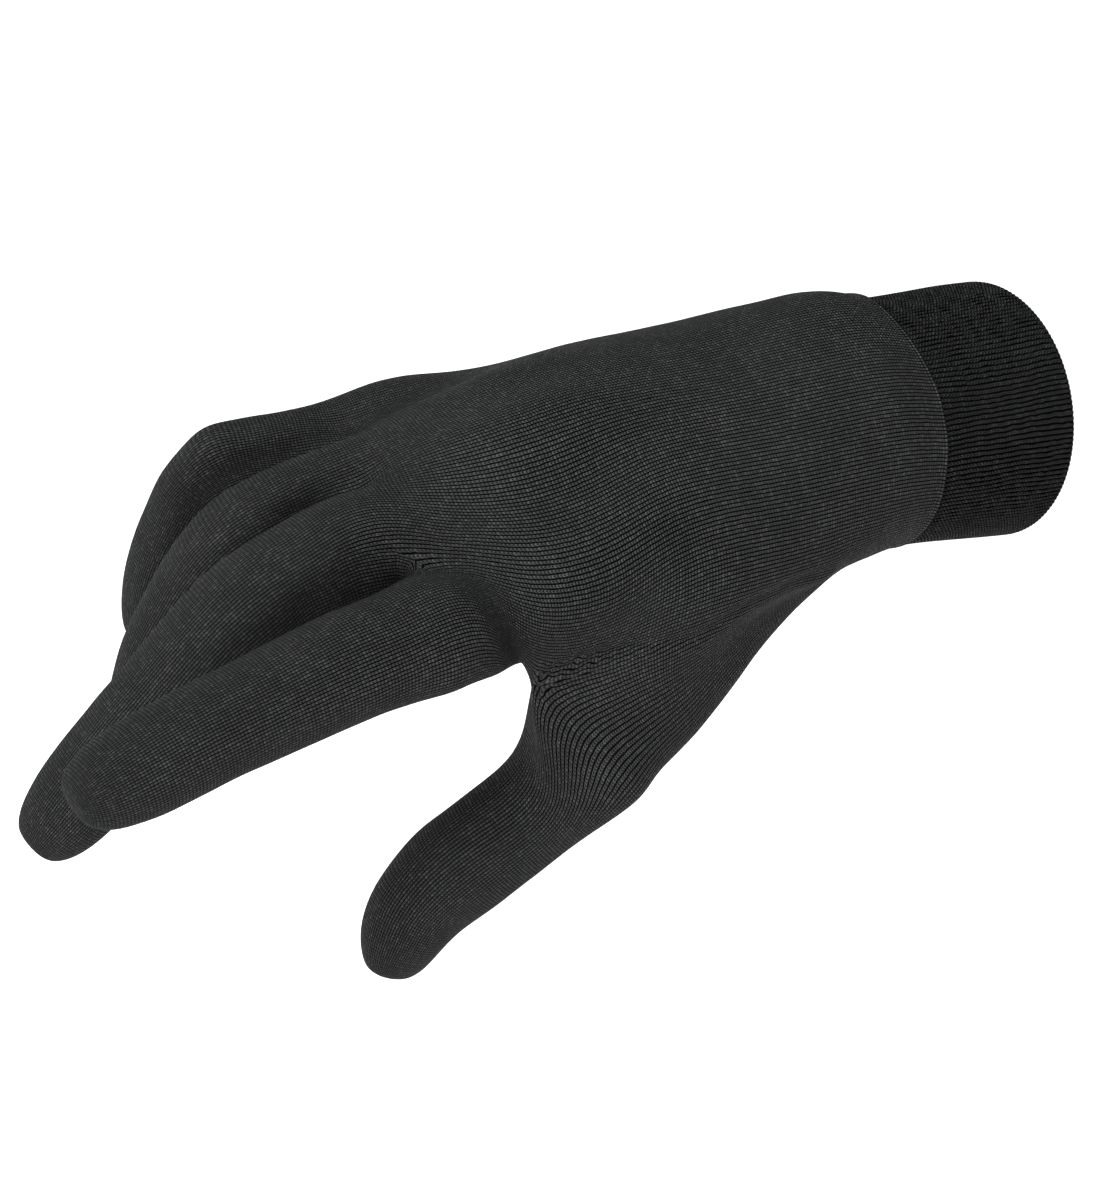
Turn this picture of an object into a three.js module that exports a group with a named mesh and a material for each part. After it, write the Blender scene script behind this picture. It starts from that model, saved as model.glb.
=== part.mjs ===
// Knitted glove liner for a right hand, in the shape that it keeps after it was worn.
// Millimetres. The origin is the centre of the cuff's open end, +X runs up the forearm,
// the fingers point to -X, the back of the hand faces +Z and the thumb is on the -Y side.
import * as THREE from 'three';

// Fabric and joins
const WALL = 1.1;
const CUFF_WALL = 1.9;
const JOIN_GAP = 0.3;
const RIB_COLOUR = 0x1c1d1e;
const KNIT_COLOUR = 0x262728;
const YARN_ROUGHNESS = 0.92;

// Every tube is a bundle of wale columns: back, side, palm, side
const BACK_COLUMNS = 5;
const SIDE_COLUMNS = 3;
const RING = 2 * (BACK_COLUMNS + SIDE_COLUMNS);
const BACK_ANGLE = 105;
const SIDE_ANGLE = 180 - BACK_ANGLE;
const ARC_STEPS = 12;
const SECTION_STEPS = 48;
const FINGERS = ['little', 'ring', 'middle', 'index'];

// Places of a column in its ring
const ULNAR_BACK = 0;
const RADIAL_BACK = BACK_COLUMNS;
const RADIAL_PALM = BACK_COLUMNS + SIDE_COLUMNS;
const ULNAR_PALM = RING - SIDE_COLUMNS;

// Cuff: centre and half sizes of its section at stations from the open end to the hand seam
const CUFF_STATIONS = [
  { x: 0.0, y: 0.0, z: 0.0, half: 27.2, height: 24.8 },
  { x: -8.0, y: 0.0, z: 0.3, half: 27.4, height: 24.2 },
  { x: -18.0, y: -0.4, z: 0.8, half: 27.2, height: 23.2 },
  { x: -26.0, y: -0.8, z: 1.3, half: 27.0, height: 22.6 },
  { x: -33.0, y: -1.0, z: 1.6, half: 27.2, height: 22.2 },
];
const CUFF_COLUMNS = 56;
const CUFF_FOLD = 0.9;
const FOLD_SHARES = [0.32, 0.68];
const CUFF_SLANT = 1.5;
const CUFF_SLANT_ANGLE = 20;
const CUFF_SLANT_REACH = 24;

// The hand seam runs aslant: it lies nearer to the fingers on the thumb side
const SEAM_X = -33;
const SEAM_SLANT = 3.5;
const SEAM_SLANT_ANGLE = 205;
const SEAM_SLANT_REACH = 25;

// Palm tube sections from the seam to the knuckles, and how far the back drops to both sides
const PALM_SECTIONS = [
  { row: 0, x: -33.3, y: -1.0, z: 1.6, half: 27.8, back: 22.8, palm: 21.8, ulnarDrop: 0, radialDrop: 0 },
  { row: 1, x: -38.0, y: -0.9, z: 1.6, half: 28.6, back: 23.6, palm: 21.9, ulnarDrop: 0.5, radialDrop: 0.3 },
  { row: 3, x: -50.0, y: -0.5, z: 1.0, half: 30.0, back: 23.6, palm: 21.3, ulnarDrop: 2.0, radialDrop: 1.5 },
  { row: 6, x: -74.0, y: 0.5, z: 0.0, half: 35.0, back: 18.6, palm: 19.0, ulnarDrop: 5.5, radialDrop: 4.0 },
  { row: 9, x: -98.0, y: 2.0, z: -1.5, half: 37.5, back: 16.2, palm: 17.5, ulnarDrop: 9.5, radialDrop: 4.0 },
];

// The stretch of each section that the fingers' back columns and palm columns take. Angles run
// from the little finger side (0) over the back (90) to the thumb side (180) and the palm (270).
const PALM_SPANS = [
  { row: 0, backFrom: 8, backTo: 208, palmFrom: 246, palmTo: 352 },
  { row: 1, backFrom: 8, backTo: 206, palmFrom: 246, palmTo: 352 },
  { row: 3, backFrom: 9, backTo: 202, palmFrom: 245, palmTo: 351 },
  { row: 6, backFrom: 10, backTo: 180, palmFrom: 250, palmTo: 350 },
  { row: 9, backFrom: 12, backTo: 170, palmFrom: 245, palmTo: 348 },
];
const KNUCKLE_ROW = 12;
const CROTCH_ROW = 15;

// The line where thumb tube and palm tube are joined, on the back and in the palm
const THUMB_JOIN = [
  { row: 6, back: [-77, -36.5, -8], palm: [-74, -14, -20] },
  { row: 9, back: [-98, -39, -10], palm: [-96, -15, -24] },
  { row: 12, back: [-121.5, -29.5, -24], palm: [-112, -18, -28] },
];
const THUMB_START_ROW = 3;
const THUMB_CROTCH_ROW = 12;

// Joints of each finger inside the tube
const FINGER_JOINTS = {
  index: [[-121.5, -25.5, -4], [-165.5, -30, -11.5], [-190.5, -32, -18.5], [-214, -34.5, -26.5]],
  middle: [[-124.5, -2.5, 3], [-169.5, -5, -16], [-188.5, -8.5, -39], [-205.5, -11.5, -60.5]],
  ring: [[-121, 15.5, -2.5], [-162, 17, -21.5], [-170, 17.5, -49], [-170, 18, -74]],
  little: [[-118, 32, -14], [-154, 40, -22], [-159.5, 39, -40.5], [-160.5, 38, -63]],
};

// Half width, half depth and roll of each finger, the place where its own tube starts, and the
// half width of its columns and the height of the back at the knuckle
const FINGER_SIZES = {
  index: { half: 10.3, depth: 9.7, roll: 6, root: 0.45, spread: 11.5, knuckleBack: 11.5 },
  middle: { half: 10.3, depth: 9.5, roll: 0, root: 0.52, spread: 10.5, knuckleBack: 11.8 },
  ring: { half: 9.6, depth: 8.9, roll: -8, root: 0.55, spread: 9.3, knuckleBack: 11.2 },
  little: { half: 8.6, depth: 8.0, roll: -16, root: 0.58, spread: 9.0, knuckleBack: 11.0 },
};
const KNUCKLE_PALM = 14.0;
const KNUCKLE_CROWN = 2.2;
const KNUCKLE_SHARES = [-0.8, -0.4, 0, 0.4, 0.8];
const INDEX_TAUT = { half: 1.08, ulnarBack: -50, radialBack: 100, radialPalm: 185, ulnarPalm: 230 };
const THUMB_TAUT = 35;
const ULNAR_BULGE = 8;
const RELAX_PASSES = 40;
const RELAX_SHARES = [0.5, -0.52];

// Stations along a finger: place counted in joints (0 knuckle, 1 middle joint, 2 end joint,
// 3 tip), rows of courses since the last station, and the section as shares of the finger's
// half width and half depth
const FINGER_STATIONS = [
  { at: 'root', rows: 3, half: 1.02, back: 1.0, palm: 1.12 },
  { at: 0.76, rows: 2, half: 0.98, back: 1.0, palm: 1.06 },
  { at: 0.98, rows: 2, half: 1.0, back: 1.04, palm: 0.98 },
  { at: 1.30, rows: 2, half: 0.95, back: 0.96, palm: 0.98 },
  { at: 1.65, rows: 1, half: 0.92, back: 0.90, palm: 0.98 },
  { at: 2.00, rows: 2, half: 0.92, back: 0.90, palm: 0.90 },
  { at: 2.40, rows: 2, half: 0.90, back: 0.85, palm: 0.93 },
  { at: 2.70, rows: 1, half: 0.84, back: 0.75, palm: 0.84 },
  { at: 2.88, rows: 1, half: 0.69, back: 0.57, palm: 0.65 },
  { at: 2.97, rows: 1, half: 0.48, back: 0.36, palm: 0.42 },
];
const TIP_DOME = 0.9;

// Joints of the thumb inside the tube, its half width and depth, and the way its width lies
const THUMB_JOINTS = [
  [-63.5, -18, -12],
  [-96.5, -30.8, -41.8],
  [-122, -30, -66.3],
  [-131.2, -29, -77.2],
  [-137, -33.5, -91.5],
];
const THUMB_SIZE = { half: 11.2, depth: 10.4, side: [0.7, -0.07, -0.71] };
const THUMB_STATIONS = [
  { at: 0.40, rows: 3, half: 1.10, back: 0.95, palm: 1.15 },
  { at: 0.78, rows: 3, half: 1.12, back: 1.0, palm: 1.15 },
  { at: 1.12, rows: 3, half: 1.14, back: 1.0, palm: 1.05 },
  { at: 1.50, rows: 3, half: 1.00, back: 0.96, palm: 0.98 },
  { at: 1.95, rows: 2, half: 1.0, back: 0.96, palm: 0.92 },
  { at: 2.60, rows: 2, half: 0.97, back: 0.90, palm: 0.94 },
  { at: 3.10, rows: 1, half: 0.92, back: 0.82, palm: 0.90 },
  { at: 3.50, rows: 1, half: 0.82, back: 0.68, palm: 0.76 },
  { at: 3.78, rows: 1, half: 0.66, back: 0.50, palm: 0.58 },
  { at: 3.94, rows: 1, half: 0.46, back: 0.33, palm: 0.38 },
];

const UP = new THREE.Vector3(0, 0, 1);
const vec = (list) => new THREE.Vector3(...list);
const mix = (a, b, t) => a.clone().lerp(b, t);
const radians = THREE.MathUtils.degToRad;

// A bent centre line through joints, straight on the bones and rounded over each joint
const BEND = 0.3;
function alongJoints(joints, at) {
  const k = THREE.MathUtils.clamp(Math.round(at), 1, joints.length - 2);
  const off = at - k;
  if (Math.abs(off) < BEND) {
    const before = mix(joints[k], joints[k - 1], BEND);
    const after = mix(joints[k], joints[k + 1], BEND);
    const t = (off + BEND) / (2 * BEND);
    return mix(mix(before, joints[k], t), mix(joints[k], after, t), t);
  }
  const bone = THREE.MathUtils.clamp(Math.floor(at), 0, joints.length - 2);
  return mix(joints[bone], joints[bone + 1], at - bone);
}

function frameAt(joints, side, at) {
  const step = 0.05;
  const point = alongJoints(joints, at);
  const tangent = alongJoints(joints, at + step).sub(alongJoints(joints, at - step)).normalize();
  const normal = tangent.clone().cross(side).normalize();
  const across = normal.clone().cross(tangent);
  return { point, tangent, normal, across };
}

// Even points on a line, by length
function evenPoints(line, count) {
  const lengths = [0];
  for (let i = 1; i < line.length; i += 1) {
    lengths.push(lengths[i - 1] + line[i].distanceTo(line[i - 1]));
  }
  const total = lengths[line.length - 1];
  const points = [];
  for (let n = 0; n <= count; n += 1) {
    const target = (total * n) / count;
    let k = 1;
    while (k < line.length - 1 && lengths[k] < target) {
      k += 1;
    }
    const share = (target - lengths[k - 1]) / (lengths[k] - lengths[k - 1]);
    points.push(mix(line[k - 1], line[k], share));
  }
  return points;
}

// Section of a tube: angles run from the middle of the back over the radial side
function tubePoint(section, angle) {
  const rise = Math.cos(radians(angle));
  const point = section.point.clone();
  point.addScaledVector(section.across, section.half * Math.sin(radians(angle)));
  point.addScaledVector(section.normal, (rise > 0 ? section.back : section.palm) * rise);
  return point;
}

function tubeArc(section, from, to) {
  const points = [];
  for (let step = 0; step <= ARC_STEPS; step += 1) {
    points.push(tubePoint(section, from + ((to - from) * step) / ARC_STEPS));
  }
  return points;
}

// Ring of a closed tube: back columns, radial side, palm columns, ulnar side
function closedRing(section) {
  const ring = [];
  for (let place = 0; place < RING; place += 1) {
    let angle = (place / BACK_COLUMNS - 0.5) * BACK_ANGLE;
    if (place > RADIAL_BACK) {
      angle = BACK_ANGLE / 2 + ((place - RADIAL_BACK) / SIDE_COLUMNS) * SIDE_ANGLE;
    }
    if (place >= RADIAL_PALM) {
      angle = 180 + ((place - RADIAL_PALM) / BACK_COLUMNS - 0.5) * BACK_ANGLE;
    }
    if (place > ULNAR_PALM) {
      angle = 180 + BACK_ANGLE / 2 + ((place - ULNAR_PALM) / SIDE_COLUMNS) * SIDE_ANGLE;
    }
    ring.push(tubePoint(section, angle));
  }
  return ring;
}

// Ring of the thumb while it is part of the palm tube: taut from the join line to its sides
function thumbBaseRing(section, join) {
  const backEnd = BACK_ANGLE / 2;
  const palmStart = 180 - BACK_ANGLE / 2;
  const backLine = [vec(join.back), ...tubeArc(section, -THUMB_TAUT, backEnd)];
  const palmLine = [...tubeArc(section, palmStart, 180 + THUMB_TAUT), vec(join.palm)];
  const back = evenPoints(backLine, BACK_COLUMNS);
  const palm = evenPoints(palmLine, BACK_COLUMNS);
  const side = evenPoints(tubeArc(section, backEnd, palmStart), SIDE_COLUMNS);
  const web = evenPoints([vec(join.palm), vec(join.back)], SIDE_COLUMNS);
  return [...back, ...side.slice(1, -1), ...palm, ...web.slice(1, -1)];
}

// Smooth curve through the rings of a column list, row by row
function splineRows(keys) {
  const rows = [];
  for (let k = 0; k + 1 < keys.length; k += 1) {
    const steps = keys[k + 1].row - keys[k].row;
    for (let s = 0; s < steps; s += 1) {
      rows.push(between(keys, k, s / steps));
    }
  }
  rows.push(keys[keys.length - 1].point.clone());
  return rows;
}

function between(keys, k, t) {
  const p1 = keys[k].point;
  const p2 = keys[k + 1].point;
  const span = keys[k + 1].row - keys[k].row;
  const before = keys[k - 1];
  const after = keys[k + 2];
  const m1 = p2.clone().sub(before ? before.point : p1);
  const m2 = (after ? after.point : p2).clone().sub(p1);
  if (before) {
    m1.multiplyScalar(span / (keys[k + 1].row - before.row));
  }
  if (after) {
    m2.multiplyScalar(span / (after.row - keys[k].row));
  }
  const t2 = t * t;
  const t3 = t2 * t;
  const out = new THREE.Vector3();
  out.addScaledVector(p1, 2 * t3 - 3 * t2 + 1);
  out.addScaledVector(m1, t3 - 2 * t2 + t);
  out.addScaledVector(p2, -2 * t3 + 3 * t2);
  out.addScaledVector(m2, t3 - t2);
  return out;
}

// How far the slant of the seam moves a point towards the fingers
function seamShift(x, angle) {
  const near = Math.max(0, 1 - Math.abs(x - SEAM_X) / SEAM_SLANT_REACH);
  return (SEAM_SLANT * near * (1 + Math.cos(radians(angle - SEAM_SLANT_ANGLE)))) / 2;
}

// Point on a palm section at an angle, with the arch of the back dropping to both sides
function sectionPoint(section, angle) {
  const shift = seamShift(section.x, angle);
  const reach = Math.cos(radians(angle));
  const rise = Math.sin(radians(angle));
  const height = rise > 0 ? section.back : section.palm;
  const drop = reach > 0 ? section.ulnarDrop : section.radialDrop;
  return new THREE.Vector3(
    section.x - shift,
    section.y + section.half * reach,
    section.z + height * rise - drop * reach * reach,
  );
}

function sectionLine(section, from, to) {
  const points = [];
  for (let step = 0; step <= SECTION_STEPS; step += 1) {
    points.push(sectionPoint(section, from + ((to - from) * step) / SECTION_STEPS));
  }
  return points;
}

// The way the width of a finger lies
function fingerSide(name) {
  const joints = FINGER_JOINTS[name].map(vec);
  const reach = joints[joints.length - 1].sub(joints[0]);
  reach.z = 0;
  const side = UP.clone().cross(reach).normalize();
  return side.applyAxisAngle(reach.normalize(), radians(FINGER_SIZES[name].roll));
}

// Fixed rows of the palm tube. The back line runs from the little finger to the thumb, the palm
// line from the thumb to the little finger, the ulnar line from palm to back.
const FINGER_COLUMNS = FINGERS.length * BACK_COLUMNS;
function sectionRow(section) {
  const join = THUMB_JOIN.find((line) => line.row === section.row);
  const span = PALM_SPANS.find((line) => line.row === section.row);
  const back = sectionLine(section, span.backFrom, span.backTo);
  const palm = sectionLine(section, span.palmFrom, span.palmTo);
  const thumb = sectionLine(section, span.backTo, span.palmFrom);
  const ulnar = sectionLine(section, span.palmTo - 360, span.backFrom);
  if (join) {
    back.push(vec(join.back));
    palm.unshift(vec(join.palm));
  }
  return {
    row: section.row,
    back: evenPoints(back, FINGER_COLUMNS),
    palm: evenPoints(palm, FINGER_COLUMNS),
    ulnar: evenPoints(ulnar, SIDE_COLUMNS),
    thumb: evenPoints(thumb, 2 * BACK_COLUMNS + SIDE_COLUMNS),
  };
}

// Point over or under a knuckle, at a share of the width of its columns
function knucklePoint(name, share, onBack) {
  const size = FINGER_SIZES[name];
  const sag = KNUCKLE_CROWN * share * share;
  const height = onBack ? size.knuckleBack - sag : sag - KNUCKLE_PALM;
  const point = vec(FINGER_JOINTS[name][0]).addScaledVector(fingerSide(name), size.spread * share);
  return point.addScaledVector(UP, height);
}

function knuckleRow() {
  const join = THUMB_JOIN.find((line) => line.row === KNUCKLE_ROW);
  const back = [];
  const palm = [];
  for (const name of FINGERS.slice(0, -1)) {
    for (const share of KNUCKLE_SHARES) {
      back.push(knucklePoint(name, share, true));
      palm.unshift(knucklePoint(name, share, false));
    }
  }
  const corners = [knucklePoint('little', -1, false), knucklePoint('little', -1, true)];
  back.unshift(corners[1]);
  palm.push(corners[0]);
  const index = FINGER_SIZES.index;
  const frame = frameAt(FINGER_JOINTS.index.map(vec), fingerSide('index'), 0);
  const half = index.half * INDEX_TAUT.half;
  const section = { ...frame, half, back: index.knuckleBack, palm: KNUCKLE_PALM };
  back.push(...tubeArc(section, INDEX_TAUT.ulnarBack, INDEX_TAUT.radialBack), vec(join.back));
  palm.unshift(vec(join.palm), ...tubeArc(section, INDEX_TAUT.radialPalm, INDEX_TAUT.ulnarPalm));
  const bulge = mix(corners[0], corners[1], 0.5).addScaledVector(fingerSide('little'), -ULNAR_BULGE);
  const ulnar = new THREE.QuadraticBezierCurve3(corners[0], bulge, corners[1]).getPoints(ARC_STEPS);
  return {
    row: KNUCKLE_ROW,
    back: evenPoints(back, FINGER_COLUMNS),
    palm: evenPoints(palm, FINGER_COLUMNS),
    ulnar: evenPoints(ulnar, SIDE_COLUMNS),
  };
}

const palmRows = [...PALM_SECTIONS.map(sectionRow), knuckleRow()];

// Columns of a finger where it is part of the palm tube
function palmKeys(name, place) {
  const order = FINGERS.indexOf(name);
  if (place <= RADIAL_BACK) {
    const index = order * BACK_COLUMNS + place;
    return palmRows.map((line) => ({ row: line.row, point: line.back[index] }));
  }
  if (place >= RADIAL_PALM && place <= ULNAR_PALM) {
    const index = (FINGERS.length - 1 - order) * BACK_COLUMNS + place - RADIAL_PALM;
    return palmRows.map((line) => ({ row: line.row, point: line.palm[index] }));
  }
  if (name === 'little' && place > ULNAR_PALM) {
    return palmRows.map((line) => ({ row: line.row, point: line.ulnar[place - ULNAR_PALM] }));
  }
  if (name === 'index' && place < RADIAL_PALM) {
    const join = THUMB_JOIN.find((line) => line.row === THUMB_CROTCH_ROW);
    const web = evenPoints([vec(join.back), vec(join.palm)], SIDE_COLUMNS);
    return [{ row: THUMB_CROTCH_ROW, point: web[place - RADIAL_BACK] }];
  }
  return [];
}

function stationSection(joints, side, size, station, place) {
  const frame = frameAt(joints, side, place);
  const half = size.half * station.half;
  return { ...frame, half, back: size.depth * station.back, palm: size.depth * station.palm };
}

function columnKeys(rings, place) {
  return rings.map((line) => ({ row: line.row, point: line.ring[place] }));
}

// All rows of a finger, from the seam to its tip
function fingerRings(name) {
  const size = FINGER_SIZES[name];
  const joints = FINGER_JOINTS[name].map(vec);
  const side = fingerSide(name);
  const rings = [];
  let row = KNUCKLE_ROW;
  for (const station of FINGER_STATIONS) {
    row += station.rows;
    const place = station.at === 'root' ? size.root : station.at;
    rings.push({ row, ring: closedRing(stationSection(joints, side, size, station, place)) });
  }
  const columns = [];
  for (let place = 0; place < RING; place += 1) {
    const keys = [...palmKeys(name, place), ...columnKeys(rings, place)];
    columns.push({ first: keys[0].row, rows: splineRows(keys) });
  }
  return { columns, last: row };
}

// The thumb's columns: part of the palm tube up to its crotch, then a tube of its own
function thumbRings() {
  const side = vec(THUMB_SIZE.side).normalize();
  const joints = THUMB_JOINTS.map(vec);
  const inPalm = palmRows.filter((line) => line.row <= THUMB_START_ROW);
  const rings = inPalm.map((line) => ({ row: line.row, ring: line.thumb }));
  let row = THUMB_START_ROW;
  for (const station of THUMB_STATIONS) {
    row += station.rows;
    const section = stationSection(joints, side, THUMB_SIZE, station, station.at);
    const join = THUMB_JOIN.find((line) => line.row === row);
    rings.push({ row, ring: join ? thumbBaseRing(section, join) : closedRing(section) });
  }
  const columns = [];
  for (let place = 0; place < RING; place += 1) {
    const firstRow = place > ULNAR_PALM ? THUMB_CROTCH_ROW : 0;
    const own = rings.filter((line) => line.row >= firstRow);
    columns.push({ first: firstRow, rows: splineRows(columnKeys(own, place)) });
  }
  return { columns, last: row };
}

const digits = { thumb: thumbRings() };
for (const name of FINGERS) {
  digits[name] = fingerRings(name);
}

const at = (digit, place, row) => {
  const column = digit.columns[place % RING];
  return column.rows[row - column.first];
};

function setAt(digit, place, row, point) {
  const column = digit.columns[place % RING];
  column.rows[row - column.first] = point;
}

// Neighbouring tubes share their edge points up to the crotch between them
function share(ulnar, radial, lastRow) {
  for (let row = 0; row <= lastRow; row += 1) {
    const pairs = [[RADIAL_BACK, ULNAR_BACK], [RADIAL_PALM, ULNAR_PALM]];
    if (row === lastRow) {
      for (let s = 1; s < SIDE_COLUMNS; s += 1) {
        pairs.push([RADIAL_BACK + s, RING - s]);
      }
    }
    for (const [a, b] of pairs) {
      const point = mix(at(ulnar, a, row), at(radial, b, row), 0.5);
      setAt(ulnar, a, row, point);
      setAt(radial, b, row, point);
    }
  }
}

share(digits.little, digits.ring, CROTCH_ROW);
share(digits.ring, digits.middle, CROTCH_ROW);
share(digits.middle, digits.index, CROTCH_ROW);
share(digits.index, digits.thumb, THUMB_CROTCH_ROW);

// Faces of the tubes, as quads of shared points
function band(digit, from, to, firstRow, lastRow) {
  const quads = [];
  for (let row = firstRow; row < lastRow; row += 1) {
    for (let place = from; place < to; place += 1) {
      const side = [at(digit, place, row), at(digit, place, row + 1)];
      quads.push([...side, at(digit, place + 1, row + 1), at(digit, place + 1, row)]);
    }
  }
  return quads;
}

// The fabric evens itself out: points between the seam and the crotches move towards the middle
// of their neighbours, and every second pass moves them back out so that nothing shrinks
function relax(quads, isFixed) {
  const beside = new Map();
  for (const quad of quads) {
    quad.forEach((point, corner) => {
      const near = beside.get(point) ?? new Set();
      near.add(quad[(corner + 1) % 4]).add(quad[(corner + 3) % 4]);
      beside.set(point, near);
    });
  }
  for (let pass = 0; pass < RELAX_PASSES; pass += 1) {
    const moved = new Map();
    beside.forEach((near, point) => {
      if (isFixed.has(point)) {
        return;
      }
      const middle = new THREE.Vector3();
      near.forEach((other) => middle.addScaledVector(other, 1 / near.size));
      moved.set(point, mix(point, middle, RELAX_SHARES[pass % 2]));
    });
    moved.forEach((place, point) => point.copy(place));
  }
}

function tipCap(digit) {
  const last = digit.last;
  const previous = last - 1;
  const ring = [];
  for (let place = 0; place < RING; place += 1) {
    ring.push(at(digit, place, last));
  }
  const outward = new THREE.Vector3();
  ring.forEach((point, place) => outward.add(point).sub(at(digit, place, previous)));
  outward.normalize();
  const grid = [];
  for (let j = 0; j <= SIDE_COLUMNS; j += 1) {
    const line = [];
    const v = j / SIDE_COLUMNS;
    for (let i = 0; i <= BACK_COLUMNS; i += 1) {
      const u = i / BACK_COLUMNS;
      if (j === 0) {
        line.push(ring[i]);
      } else if (j === SIDE_COLUMNS) {
        line.push(ring[ULNAR_PALM - i]);
      } else if (i === 0) {
        line.push(ring[RING - j]);
      } else if (i === BACK_COLUMNS) {
        line.push(ring[RADIAL_BACK + j]);
      } else {
        const along = mix(ring[i], ring[ULNAR_PALM - i], v);
        const across = mix(ring[RING - j], ring[RADIAL_BACK + j], u);
        const low = mix(ring[ULNAR_BACK], ring[RADIAL_BACK], u);
        const high = mix(ring[ULNAR_PALM], ring[RADIAL_PALM], u);
        const point = along.add(across).sub(mix(low, high, v));
        const dome = 4 * u * (1 - u) * 4 * v * (1 - v);
        point.addScaledVector(outward, TIP_DOME * dome);
        line.push(point);
      }
    }
    grid.push(line);
  }
  const quads = [];
  for (let j = 0; j < SIDE_COLUMNS; j += 1) {
    for (let i = 0; i < BACK_COLUMNS; i += 1) {
      quads.push([grid[j][i], grid[j + 1][i], grid[j + 1][i + 1], grid[j][i + 1]]);
    }
  }
  return quads;
}

function palmTubeQuads() {
  const quads = [];
  for (const name of FINGERS) {
    quads.push(...band(digits[name], ULNAR_BACK, RADIAL_BACK, 0, CROTCH_ROW));
    quads.push(...band(digits[name], RADIAL_PALM, ULNAR_PALM, 0, CROTCH_ROW));
    quads.push(...band(digits[name], 0, RING, CROTCH_ROW, CROTCH_ROW + 1));
  }
  quads.push(...band(digits.little, ULNAR_PALM, RING, 0, CROTCH_ROW));
  quads.push(...band(digits.index, RADIAL_BACK, RADIAL_PALM, THUMB_CROTCH_ROW, CROTCH_ROW));
  quads.push(...band(digits.thumb, ULNAR_BACK, ULNAR_PALM, 0, THUMB_CROTCH_ROW));
  quads.push(...band(digits.thumb, 0, RING, THUMB_CROTCH_ROW, THUMB_CROTCH_ROW + 1));
  return quads;
}

const fixed = new Set();
const crotchRow = (name) => (name === 'thumb' ? THUMB_CROTCH_ROW : CROTCH_ROW);
for (const [name, digit] of Object.entries(digits)) {
  const crotch = crotchRow(name);
  for (let place = 0; place < RING; place += 1) {
    const column = digit.columns[place];
    fixed.add(column.rows[0]);
    column.rows.slice(crotch - column.first).forEach((point) => fixed.add(point));
  }
}
relax(palmTubeQuads(), fixed);

// The way that a tube runs at one of its rings
function ringAxis(digit, row) {
  const axis = new THREE.Vector3();
  for (let place = 0; place < RING; place += 1) {
    axis.add(at(digit, place + 1, row).clone().cross(at(digit, place, row)));
  }
  return axis.normalize();
}

// A stall starts a gap beyond the collar of its crotch
function stallQuads(digit, crotch, normals) {
  const start = crotch + 1;
  const first = [];
  const axis = ringAxis(digit, start);
  for (let place = 0; place < RING; place += 1) {
    const here = at(digit, place, start);
    const next = at(digit, place, start + 1);
    const point = mix(here, next, JOIN_GAP / next.clone().sub(here).dot(axis));
    normals.set(point, normals.get(here));
    first.push(point);
  }
  const quads = [];
  for (let place = 0; place < RING; place += 1) {
    const beside = (place + 1) % RING;
    quads.push([first[place], at(digit, place, start + 1), at(digit, beside, start + 1), first[beside]]);
  }
  quads.push(...band(digit, 0, RING, start + 1, digit.last), ...capQuads.get(digit));
  return quads;
}

// Outward directions of the whole glove's points
function outwardNormals(quads) {
  const normals = new Map();
  for (const quad of quads) {
    const normal = quad[2].clone().sub(quad[0]).cross(quad[3].clone().sub(quad[1]));
    for (const point of quad) {
      normals.set(point, (normals.get(point) ?? new THREE.Vector3()).add(normal));
    }
  }
  normals.forEach((normal) => normal.normalize());
  return normals;
}

// Knitted wall: outer quads, the same quads moved in by the wall, and rims on open edges
function shell(quads, normals) {
  const edges = new Map();
  const inner = new Map();
  for (const quad of quads) {
    quad.forEach((point, corner) => {
      inner.set(point, point.clone().addScaledVector(normals.get(point), -WALL));
      const ends = edges.get(point) ?? new Set();
      edges.set(point, ends.add(quad[(corner + 1) % quad.length]));
    });
  }
  const faces = [];
  for (const quad of quads) {
    faces.push(quad);
    faces.push(quad.map((point) => inner.get(point)).reverse());
  }
  edges.forEach((ends, point) => {
    ends.forEach((next) => {
      if (!edges.get(next)?.has(point)) {
        faces.push([next, point, inner.get(point), inner.get(next)]);
      }
    });
  });
  return solid(faces);
}

function solid(faces) {
  const values = [];
  for (const [a, b, c, d] of faces) {
    for (const point of [a, b, c, a, c, d]) {
      values.push(point.x, point.y, point.z);
    }
  }
  const geometry = new THREE.BufferGeometry();
  geometry.setAttribute('position', new THREE.Float32BufferAttribute(values, 3));
  geometry.computeVertexNormals();
  return geometry;
}

// Cuff: a doubled rib band, folded over at the open end. The fold lies a little aslant.
function cuffRing(station, inset) {
  const ring = [];
  for (let i = 0; i < CUFF_COLUMNS; i += 1) {
    const angle = (2 * Math.PI * i) / CUFF_COLUMNS;
    const reach = Math.max(0, 1 + station.x / CUFF_SLANT_REACH);
    const slant = CUFF_SLANT * reach * Math.cos(angle - radians(CUFF_SLANT_ANGLE));
    const x = station.x + slant - seamShift(station.x, THREE.MathUtils.radToDeg(angle));
    const y = station.y + (station.half - inset) * Math.cos(angle);
    const z = station.z + (station.height - inset) * Math.sin(angle);
    ring.push(new THREE.Vector3(x, y, z));
  }
  return ring;
}

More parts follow.
